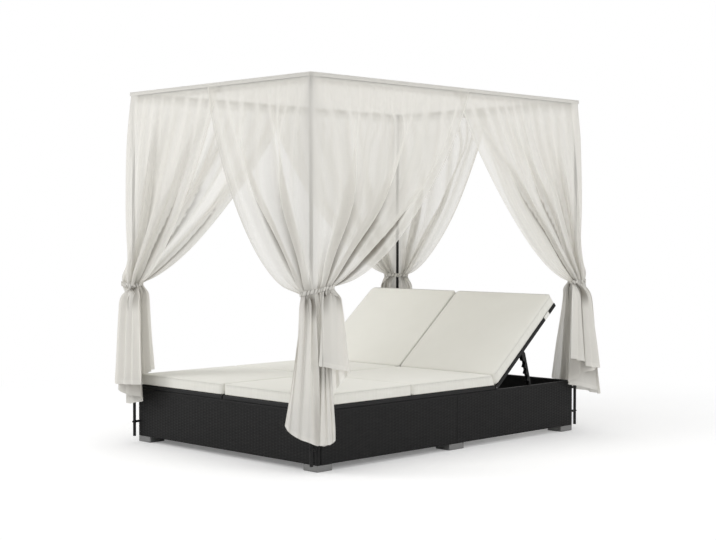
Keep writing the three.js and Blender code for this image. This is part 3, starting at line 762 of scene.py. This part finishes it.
def under_fold(phase, spread, lean, width, past, reach):
    """How deep a thread lies in the shade of the rolled edge of the fold above it."""
    key = (round(spread, 2), round(lean, 2))
    if key not in rolled_edges:
        rolled_edges[key] = rolled_edge(*key)
    at, clear, roll = rolled_edges[key]
    step = phase % 1
    step += 1 if step < at else 0
    beyond = (step - clear) * width + past
    shade = .10
    if beyond >= 0:
        shade = .72 * (1 - smooth_step(beyond, .2 * reach, reach)) + .28 * math.exp(-beyond / reach)
    return shade * smooth_step(roll * width, .001, .012) * (phase > .2)


def along_line(stations, share):
    """A smooth curve through stations, whose first number is the share of the way."""
    number = 0
    while number < len(stations) - 2 and stations[number + 1][0] < share:
        number += 1
    four = [stations[min(max(number + shift, 0), len(stations) - 1)] for shift in (-1, 0, 1, 2)]
    a, b, c, d = (Vector(station[1:]) for station in four)
    t = (share - stations[number][0]) / (stations[number + 1][0] - stations[number][0])
    return b + t * (.5 * (c - a) + t * (a - 2.5 * b + 2 * c - .5 * d + t * (1.5 * (b - c) + .5 * (d - a))))


def lay_threads(look):
    """The cloth's upright threads: each one's place on the tubes, and the folds on its side of the pole."""
    legs = (look.reach[0] * pole_x, look.reach[1] * pole_y)
    end_cloth = cloth_width * legs[0] / (legs[0] + legs[1])
    cloths = (end_cloth, cloth_width - end_cloth)
    threads = []
    for number in range(columns + 1):
        run = cloth_width * number / columns
        beyond = abs(run - end_cloth)
        side = math.copysign(1, run - end_cloth)
        leg_number = int(side > 0)
        cloth, leg = cloths[leg_number], legs[leg_number]
        share = run / cloth_width
        top = side * beyond * (leg + tube_bend) / cloth
        threads.append(SimpleNamespace(
            run=run, share=share, side=side, beyond=beyond, cloth=cloth, leg=leg, top=top,
            edge=min(abs(top) / leg, 1), spread=leg / cloth, widths=look.folds[leg_number],
            bow=look.bow[leg_number], over=look.over[leg_number], hem=along_line(look.hem, share)))
    return threads


def fan_place(look, thread, t):
    """A thread's place in the fan, t of the way from tube to tie, its painted shade, and its gathers' layers.
    """
    edge, run = thread.edge, thread.run
    closing = (1 - t ** (1.25 - .1 * edge ** 4)) ** (.95 - (.95 - thread.bow) * edge ** 3)
    waist = (thread.share - look.centre) * look.waist
    m = waist + (thread.top - waist) * closing
    spread = max(min(thread.spread * closing + look.waist / cloth_width, .985), .115)
    phase, width, past = fold_phase(max(thread.beyond + look.slide * edge * (t - .75), 0), thread.widths)
    ahead, high = fold_place(phase, spread)
    near_tie = smooth_step(t, .55, 1.0)
    free = 1 - smooth_step(thread.beyond, thread.cloth - .13, thread.cloth - .02) * .8 * (1 - near_tie)
    lean = look.lean * (1 - .80 * near_tie) * smooth_step(t, 0, .20)
    m += thread.side * width * (ahead * (1 - .5 * near_tie) + lean * high * free)
    flatter = smooth_step(t, .45, .85)
    out = cloth_out + (.60 - look.flat * flatter) * width * high * free * smooth_step(t, 0, .18)
    out += look.belly * 4 * t * (1 - t) * (1 - edge) ** 2
    out += pile_out * edge ** 2 * (1 - closing) ** 3
    at_edge = smooth_step(abs(thread.top), thread.leg - .35, thread.leg - .15)
    out += thread.over * overlap * at_edge * (1 - smooth_step(t, .2, .45))
    gather = math.sin(math.tau * run / gather_pitch + 2 * math.sin(run * 9 + look.seed))
    out += (gather + 1) * gather_height * max(0, 1 - 1.15 * t) ** 1.3 * smooth_step(t, 0, .22)
    ray = math.sin(math.tau * run / ray_pitch + ray_wobble * math.sin(run * 6 + look.seed))
    out += (ray + 1) * look.ray * smooth_step(t, 0, .55) * (1 - .45 * near_tie)
    drift = 4 * t * (1 - t)
    wander = Vector((run * 2.6 + look.seed, t * 2.2, look.seed))
    m += noise.noise(wander) * drift_along * drift
    out += (noise.noise(wander + Vector((9, 3, 1))) + .5) * drift_out * drift
    pucker = math.sin(math.tau * run / pucker_pitch + look.seed)
    out += (pucker + 1) * pucker_height * math.exp(-((t - .985) / .05) ** 2)
    out -= .25 * (out - cloth_out) * math.exp(-((t - 1) / .035) ** 2)
    out += look.heap * smooth_step(t, .8, 1) * math.exp(-(m / .05) ** 2)
    # Painted shade: darkness laid into the cloth under each fold's rolled edge, growing towards the tie, and
    # in the puckers just above the tie.
    reach = look.shade * (.35 + .65 * smooth_step(t, .35, .95))
    crease = under_fold(phase, spread, lean * free, width, past, reach) * smooth_step(t, .10, .85) * look.dark
    crease *= 1 - look.calm * (1 - smooth_step(thread.beyond, .25, .50))
    crease += .20 * look.dark * ((1 - pucker) / 2) ** 2 * math.exp(-((t - 1) / .03) ** 2)
    thicker = 1.7 * ((1 - gather) / 2) ** 4 * max(0, 1 - 1.1 * t) * smooth_step(t, 0, .08)
    return m, max(out, least_out), min(crease, .95), thicker


def pocket_rows(threads):
    """The rod pocket, wrapped round the tubes, and flat across the corner where the pole passes."""
    rows = []
    for number, (pocket_out, up) in enumerate(pocket):
        row = []
        for thread in threads:
            notch = 1 - smooth_step(abs(thread.top), *pole_notch)
            out = pocket_out + (least_out - pocket_out) * notch * (number < pressed_rows)
            ripple = math.sin(math.tau * thread.run / rod_gather) * rod_ripple * (1 - notch)
            down = pocket_length * number / len(pocket)
            row.append((*plan(thread.top, out + ripple), tube_z + up, down, 0, 0))
        rows.append(row)
    return rows


def tie_line(look, x, y):
    """The height of the slanting tie round the pole."""
    return waist_z + look.slant * ((x - pole_x) - (y - pole_y)) / math.sqrt(2)


def tail_place(look, thread, part):
    """A thread's place in the tail, part of the way from the tie to its hem, and its painted shade."""
    hem_m, hem_out, drop = thread.hem
    depth = part * drop
    # Painted shade: the shade carried down from the tie fades out in the tail, and streaks of it run down
    # just below the tie.
    crease = thread.tie_crease * math.exp(-(depth / .07) ** 2)
    shade_streak = max(math.sin(math.tau * thread.share * look.streaks + look.seed), 0) ** 6
    fading = smooth_step(depth, .005, .03) * (1 - smooth_step(depth, .06, .15))
    crease += .75 * look.dark * shade_streak * fading
    # Painted shadow: a lower layer darkens around and below the hem of the layer lying over it.
    first, last, hem_above = look.lap
    under = smooth_step(thread.share, first, first + .03) * (1 - smooth_step(thread.share, last - .03, last))
    past_hem = 1 - smooth_step(depth, hem_above + .02, hem_above + .15)
    crease += .38 * under * smooth_step(depth, hem_above - .06, hem_above) * past_hem
    quick = look.flare[0] * (1 - thread.share) + look.flare[1] * thread.share
    go = quick * smooth_step(depth, 0, .06) + (1 - quick) * min(depth / .64, 1) ** (1.45 - 1.4 * quick)
    hem_x, hem_y = plan(hem_m, hem_out, hem_bend)
    x, y = thread.tie_x + (hem_x - thread.tie_x) * go, thread.tie_y + (hem_y - thread.tie_y) * go
    wander = Vector((thread.share * 7 + look.seed, depth * 3, look.seed))
    sway = min(depth / .12, 1) * tail_sway
    x += noise.noise(wander) * sway
    y += noise.noise(wander + Vector((5, 2, 8))) * sway
    pucker = math.sin(math.tau * thread.run / pucker_pitch + look.seed + 2 * math.sin(thread.run * 7))
    ripple = math.sin(math.tau * thread.run / tail_pitch + look.seed + 3 * math.sin(thread.run * 5))
    swell = tail_pucker * math.exp(-((depth - .02) / .05) ** 2) * (pucker + 1)
    swell += look.ripple * smooth_step(depth, 0, .1) * (ripple + 1)
    down = pocket_length + math.hypot(fall, thread.top) + depth
    return x + swell * .7, y + swell * .7, thread.tie_z - depth, down, min(crease, .95), 0


def curtain_rows(look, threads):
    """The curtain's corners, row by row, in the plan of the right head corner."""
    rows = pocket_rows(threads)
    for thread in threads:
        m, out, thread.tie_crease, _ = fan_place(look, thread, 1)
        thread.tie_x, thread.tie_y = plan(m, out)
        thread.tie_z = tie_line(look, thread.tie_x, thread.tie_y)
    for number in range(fan_rows + 1):
        t = number / fan_rows
        row = []
        for thread in threads:
            m, out, crease, thicker = fan_place(look, thread, t)
            z = tube_z - tube_radius - t * (tube_z - tube_radius - thread.tie_z)
            down = pocket_length + t * math.hypot(fall, thread.top)
            row.append((*plan(m, out), z, down, crease, thicker))
        rows.append(row)
    for number in range(1, tail_rows + 1):
        rows.append([tail_place(look, thread, number / tail_rows) for thread in threads])
    return rows


def layers_at(look, threads, rows, row, column):
    """How many more layers of cloth lie at a point than one, from its gathers, the pole and the tie."""
    x, y, z, _, _, thicker = rows[row][column]
    if row < len(pocket):
        return 1.3 * smooth_step(z - tube_z, -.014, -.005)
    first, last = max(column - 3, 0), min(column + 3, columns)
    steps = [math.dist(rows[row][n][:2], rows[row][n + 1][:2]) for n in range(first, last)]
    bunched = (threads[last].run - threads[first].run) / sum(steps) - 1
    bunched *= .35 + .65 * smooth_step(row - len(pocket), 0, 9)
    by_pole = 1 - smooth_step(math.dist((x, y), (pole_x, pole_y)), .034, .070)
    below_tie = smooth_step(waist_z - z, -.03, .08)
    layers = min(max(bunched, 0), 3) + look.veil * by_pole * (z > waist_z)
    return layers + tail_layers * below_tie + thicker


def curtain(end, side, look):
    threads = lay_threads(look)
    rows = curtain_rows(look, threads)
    shape = bmesh.new()
    thread = shape.loops.layers.uv.new("thread")
    doubled = shape.verts.layers.float.new("doubled")
    crease = shape.verts.layers.float.new("crease")
    grid = bmesh.ops.create_grid(shape, x_segments=columns, y_segments=len(rows) - 1, size=1)["verts"]
    shape.verts.index_update()
    cut = []
    for corner in grid:
        column = round((corner.co.x + 1) / 2 * columns)
        row = round((corner.co.y + 1) / 2 * (len(rows) - 1))
        x, y, z, down, fold_shade, _ = rows[row][column]
        # Each corner keeps its painted shade from the folds, which darkens the cloth there.
        corner[crease] = fold_shade
        corner[doubled] = layers_at(look, threads, rows, row, column)
        corner.co = (x * sides[side], y * ends[end], z)
        cut.append((threads[column].run, rows[-1][column][3] - down))
    lay_map(shape, thread, lambda corner: cut[corner.index])
    face_outwards(shape)
    made = piece(f"curtain_cloth_{end}_{side}", shape, voile, None)
    smoother = made.modifiers.new("smoother", "SUBSURF")
    smoother.levels = smoother.render_levels = 1
    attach(made, "base")
    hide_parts(f"curtain_{end}_{side}")
    return rows


# How each curtain hangs. Pairs go with its end tube and its side tube. In the fan, folds are
# the widths of cloth in each fold from the pole, reach how far along each tube it goes, bow how
# its free edges curve, over which edge lies outside, slide, lean and flat how the folds slip,
# tip over and lie flatter lower down, ray and belly how it swells, shade, dark and calm how
# far and how deep the painted shade in the creases goes and how little of it lies by the pole,
# and veil how it hides the pole. Waist is the tied bundle's width, centre the share of cloth at
# the pole, slant the tie's slope and heap its bulge. In the tail, flare is how fast it opens,
# ripple its swell, streaks its streaks of painted shade below the tie, lap a lower layer's first
# and last share and the hem above it, around and below which that layer gets a painted shadow,
# and hem is the share of cloth, the places along and out from the tubes, and the drop below the
# tie. Seed varies it.
looks = {
    ("foot", "right"): SimpleNamespace(
        folds=((.24, .26), (.32, .35, .30)), reach=(1.07, 1.08), bow=(.50, .56), over=(1, 1), slide=.25,
        lean=.74, flat=.34, ray=.0070, belly=.010, shade=.095, dark=.95, calm=.2, veil=.5,
        waist=.17, centre=.30, slant=.22, heap=.006, seed=1.3,
        flare=(.05, .45), ripple=.0085, streaks=3, lap=(.36, .68, .33),
        hem=[(0, -.03, .018, .47), (.06, -.12, .019, .50), (.12, -.184, .032, .58),
             (.16, -.172, .050, .615), (.27, -.04, .062, .66), (.37, .06, .060, .69),
             (.415, .095, .060, .695), (.445, .07, .067, .695), (.475, .038, .075, .695),
             (.50, .05, .082, .695), (.57, .11, .078, .69), (.61, .142, .066, .68),
             (.65, .12, .050, .66), (.69, .11, .036, .60), (.77, .18, .030, .47),
             (.87, .273, .048, .395), (.90, .262, .064, .385), (.955, .13, .090, .368),
             (1, .012, .098, .35)]),
    ("foot", "left"): SimpleNamespace(
        folds=((.30, .27), (.31, .38, .30)), reach=(1.05, 1.08), bow=(.68, .72), over=(0, 1), slide=.30,
        lean=.72, flat=.12, ray=.0040, belly=.022, shade=.07, dark=.70, calm=.3, veil=1.2,
        waist=.175, centre=.50, slant=.06, heap=.006, seed=7.1,
        flare=(.48, .45), ripple=.0120, streaks=2, lap=(.24, .50, .50),
        hem=[(0, -.245, .066, .50), (.06, -.16, .082, .505), (.14, -.045, .092, .51),
             (.20, .030, .094, .515), (.235, .045, .082, .53), (.27, -.05, .070, .56),
             (.33, -.18, .056, .565), (.37, -.22, .046, .58), (.41, -.16, .034, .60),
             (.46, -.05, .024, .62), (.52, .09, .030, .62), (.58, .08, .050, .60),
             (.63, .08, .066, .57), (.70, .15, .062, .53), (.76, .19, .046, .50),
             (.80, .16, .030, .49), (.86, .13, .022, .48), (.93, .18, .024, .47),
             (1, .215, .034, .46)]),
    ("head", "right"): SimpleNamespace(
        folds=((.26, .28), (.30, .24, .20)), reach=(1.06, 1.01), bow=(.62, .64), over=(1, 0), slide=.55,
        lean=.74, flat=.20, ray=.0050, belly=.010, shade=.045, dark=.95, calm=.7, veil=1.9,
        waist=.16, centre=.50, slant=-.10, heap=.010, seed=12.9,
        flare=(.30, .30), ripple=.0130, streaks=3, lap=(.27, .64, .45),
        hem=[(0, -.27, .03, .56), (.07, -.15, .04, .58), (.13, -.20, .05, .60),
             (.20, -.12, .065, .61), (.27, -.03, .095, .62), (.33, 0, .130, .625),
             (.38, .01, .115, .625), (.42, .02, .130, .615), (.46, .03, .095, .59),
             (.50, .12, .045, .565), (.54, .19, .03, .55), (.58, .16, .045, .53),
             (.62, .08, .085, .49), (.66, .015, .140, .475), (.73, .09, .12, .455),
             (.79, .08, .10, .445), (.85, .07, .115, .435), (.92, .13, .09, .425),
             (1, .185, .07, .41)]),
    ("head", "left"): SimpleNamespace(
        folds=((.26, .27), (.32, .32, .28)), reach=(1.06, 1.05), bow=(.60, .66), over=(0, 0), slide=.30,
        lean=.72, flat=.15, ray=.0060, belly=.010, shade=.04, dark=.35, calm=0, veil=1.0,
        waist=.125, centre=.43, slant=.05, heap=.010, seed=23.7,
        flare=(.30, .30), ripple=.0120, streaks=3, lap=(.20, .45, .47),
        hem=[(0, -.24, .022, .44), (.07, -.11, .030, .48), (.14, -.20, .046, .52),
             (.21, -.17, .062, .56), (.30, -.04, .074, .60), (.38, .06, .068, .62),
             (.42, .11, .060, .62), (.46, .05, .072, .61), (.49, 0, .086, .60),
             (.54, .05, .096, .59), (.61, .15, .080, .56), (.66, .18, .060, .54),
             (.70, .13, .044, .52), (.76, .15, .030, .50), (.86, .27, .034, .46),
             (.90, .28, .050, .45), (.95, .20, .066, .43), (1, .11, .076, .42)]),
}
hung = {corner: curtain(*corner, look) for corner, look in looks.items()}


# The roof: one sheet of the same voile stretched over the top tubes, with its hem turned
# down outside them, sagging a little in the middle.
roof_reach, roof_lift, roof_hem = .0113, .0128, .018
roof_sag, roof_pull, pull_width = .014, .003, .06
hem_flare_x, hem_flare_y = 1.0004, 1.0003
roof_columns, roof_rows = 60, 84


def roof():
    half_x, half_y = pole_x + roof_reach, pole_y + roof_reach
    shape = bmesh.new()
    thread = shape.loops.layers.uv.new("thread")
    doubled = shape.verts.layers.float.new("doubled")

    def stretched(x_share, y_share):
        x, y = (2 * x_share - 1), (2 * y_share - 1)
        dome = (1 - abs(x) ** 2.2) * (1 - abs(y) ** 2.2)
        spot = Vector((x * half_x, y * half_y, tube_z + roof_lift - roof_sag * dome))
        pull = noise.noise(Vector((x * 2, y * 2, 4))) * roof_pull * dome
        to_corners = math.exp(-((abs(x) - abs(y)) / pull_width) ** 2) * dome * roof_pull
        spot.z += pull + to_corners
        return spot

    ribbon(shape, roof_columns, roof_rows, stretched)
    edge = [item for item in shape.edges if item.is_boundary]
    turned = bmesh.ops.extrude_edge_only(shape, edges=edge)["geom"]
    hem = [item for item in turned if isinstance(item, bmesh.types.BMVert)]
    for corner in hem:
        corner.co.z -= roof_hem
        corner.co.x *= hem_flare_x
        corner.co.y *= hem_flare_y
    for corner in shape.verts:
        corner[doubled] = 1
    for corner in hem:
        corner[doubled] = 1.6
    lay_map(shape, thread, lambda corner: (corner.co.x + .9, corner.co.y + 1.2))
    face_outwards(shape)
    made = piece("roof_voile", shape, voile, "base")
    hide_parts("roof_cloth")
    2 * (half_x + roof_hem)
    2 * (half_y + roof_hem)


roof()


# The tie bands: four narrow strips of the same cloth, each one sewn double, gathered and drawn
# tight round a curtain and its pole.
tie_height, tie_length_share, tie_cut_share = .019, 1.05, 1.6
tie_columns, tie_around = 260, 10
tie_pitch, tie_clear, tie_least = .017, .0008, .0004
tie_crown, tie_wrinkle, tie_gather = .0014, .0010, .0048
tie_step = .003


def girth(points):
    """The line that a tight band takes round the points."""
    points = sorted(set(points))
    halves = []
    for order in (points, points[::-1]):
        half = []
        for point in order:
            while len(half) > 1:
                (ax, ay), (bx, by) = half[-2], half[-1]
                if (bx - ax) * (point[1] - ay) - (by - ay) * (point[0] - ax) > 0:
                    break
                half.pop()
            half.append(point)
        halves += half[:-1]
    return [Vector(point) for point in halves]


def tie(end, side, look, rows):
    round_pole = tube_radius + tie_clear
    points = [spot[:2] for spot in rows[len(pocket) + fan_rows]]
    points += [(pole_x + round_pole * math.cos(turn), pole_y + round_pole * math.sin(turn))
               for turn in (math.tau * n / 16 for n in range(16))]
    loop = girth(points)
    lengths = [0]
    for first, second in zip(loop, loop[1:] + loop[:1]):
        lengths.append(lengths[-1] + (second - first).length)
    shape = bmesh.new()
    shades = []

    def spot_at(run):
        run %= lengths[-1]
        number = max(n for n in range(len(loop)) if lengths[n] <= run + 1e-9)
        part = (run - lengths[number]) / (lengths[number + 1] - lengths[number])
        return loop[number].lerp(loop[(number + 1) % len(loop)], part)

    def band(share, across):
        run = share * lengths[-1]
        near = [spot_at(run + steps * tie_step) for steps in (-2, -1, 0, 1, 2)]
        spot = sum(near, Vector((0, 0))) / len(near)
        way = (near[-1] - near[0]).normalized()
        outward = Vector((way.y, -way.x))
        turn = math.tau * across
        around = Vector((math.cos(math.tau * share), math.sin(math.tau * share), 0))
        pucker = noise.noise(around * 11 + Vector((0, 0, look.seed + math.sin(turn) * .8)))
        drawn = 2.6 * noise.noise(around * 4 + Vector((0, 0, look.seed))) + .7 * math.sin(turn)
        strand = abs(math.sin(math.pi * share * round(lengths[-1] / tie_pitch) + drawn))
        thick = tie_least + tie_crown * math.cos(turn) + tie_wrinkle * pucker + strand * tie_gather
        spot = spot + outward * max(thick, tie_least)
        # Painted shade: the band darkens between its gathered strands and towards its top and bottom edges.
        shades.append(min(.02 + .80 * (1 - strand) ** 2.4 + .22 * abs(math.sin(turn)) ** 4, .9))
        uneven = noise.noise(around * 5 + Vector((0, 0, look.seed + 3)))
        rise = math.sin(turn) * tie_height / 2 * (1 + .35 * uneven + .18 * strand)
        return Vector((spot.x * sides[side], spot.y * ends[end], tie_line(look, spot.x, spot.y) + rise))

    ribbon(shape, tie_columns, tie_around, band)
    crease = shape.verts.layers.float.new("crease")
    doubled = shape.verts.layers.float.new("doubled")
    for corner, shade in zip(shape.verts, shades):
        corner[crease], corner[doubled] = shade, 1.5
    bmesh.ops.remove_doubles(shape, verts=shape.verts, dist=1e-5)
    face_outwards(shape)
    thread = shape.loops.layers.uv.new("thread")
    lay_map(shape, thread, lambda corner: (.5 + corner.co.x + corner.co.y, .5 + corner.co.z))
    made = piece(f"tie_{end}_{side}", shape, tie_voile, "base")
    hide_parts(f"tie_band_{end}_{side}")


for (end, side), look in looks.items():
    tie(end, side, look, hung[end, side])


# The floor, light and camera: a white sweep under a broad soft light from above, with a key
# light from the foot end and a weaker one from the right, seen from the right foot corner at
# a little over a metre.
floor_half, floor_drop = 30, .0005
lamps = [
    ("overhead", (0, 0, 4.6), (0, 0, 0), 4.5, 34),
    ("key", (-3.3, -4.8, 3.2), (0, 0, .9), 3.0, 112),
    ("side", (5.4, .6, 2.6), (0, 0, .7), 2.6, 61),
]
camera_place = (5.2843, -5.2835, 1.0989)
camera_tilt, camera_turn = math.radians(88.36), math.radians(45.13)
lens_length, film_width = 70.48, 36


def floor_finish():
    """White that takes the object's shadow close by and fades to plain white further off."""
    finish = Finish(bpy.data.materials.new("white_floor"))
    diffuse = finish.node("BsdfDiffuse", {}, {"Color": (.92, .92, .92, 1)})
    glow = finish.node("Emission", {}, {"Color": (1, 1, 1, 1), "Strength": .17})
    seen = finish.node("LightPath", output="Is Camera Ray")
    lit = finish.node("AddShader", {}, {0: diffuse, 1: glow})
    place = finish.node("TexCoord", output="Object")
    away = finish.node("VectorMath", {"operation": "LENGTH"}, {0: place}, "Value")
    fade = finish.node("MapRange", {"interpolation_type": "SMOOTHSTEP"}, {
        "Value": away, "From Min": 1.5, "From Max": 3.6})
    sweep = finish.node("Emission", {}, {"Color": (1, 1, 1, 1), "Strength": 1.0})
    lit = finish.node("MixShader", {}, {0: fade, 1: lit, 2: sweep})
    return finish.done(finish.node("MixShader", {}, {0: seen, 1: diffuse, 2: lit}))


def lay_floor():
    shape = bmesh.new()
    reach = 2 * floor_half
    ribbon(shape, 1, 1, lambda x, y: Vector((x * reach - floor_half, y * reach - floor_half, -floor_drop)))
    mesh = mesh_of("floor", shape)
    mesh.materials.append(floor_finish())
    floor = placed("floor", mesh)


def surround():
    """Air that is white to the camera and in gloss, and dimmer as light on the object."""
    world = bpy.data.worlds.new("studio")
    bpy.context.scene.world = world
    air = Finish(world)
    camera_ray = air.node("LightPath", output="Is Camera Ray")
    glossy_ray = air.node("LightPath", output="Is Glossy Ray")
    through_ray = air.node("LightPath", output="Is Transmission Ray")
    white = camera_ray.at_least(through_ray).at_least(glossy_ray)
    dim = air.node("Background", {}, {"Color": (1, 1, 1, 1), "Strength": .68})
    bright = air.node("Background", {}, {"Color": (1, 1, 1, 1), "Strength": 1.0})
    air.done(air.node("MixShader", {}, {0: white, 1: dim, 2: bright}))


def hang_lamp(name, place, aim, size, power):
    data = bpy.data.lights.new(name, "AREA")
    data.shape = "DISK"
    data.size = size
    data.energy = power
    lamp = placed(name, data)
    lamp.location = place
    lamp.rotation_euler = (Vector(aim) - Vector(place)).to_track_quat("-Z", "Y").to_euler()


def set_camera():
    lens = bpy.data.cameras.new("camera")
    lens.sensor_width = film_width
    lens.lens = lens_length
    camera = placed("camera", lens)
    camera.location = camera_place
    camera.rotation_euler = (camera_tilt, 0, camera_turn)
    bpy.context.scene.camera = camera
    bpy.context.scene.view_settings.view_transform = "Standard"


lay_floor()
surround()
for lamp in lamps:
    hang_lamp(*lamp)
set_camera()
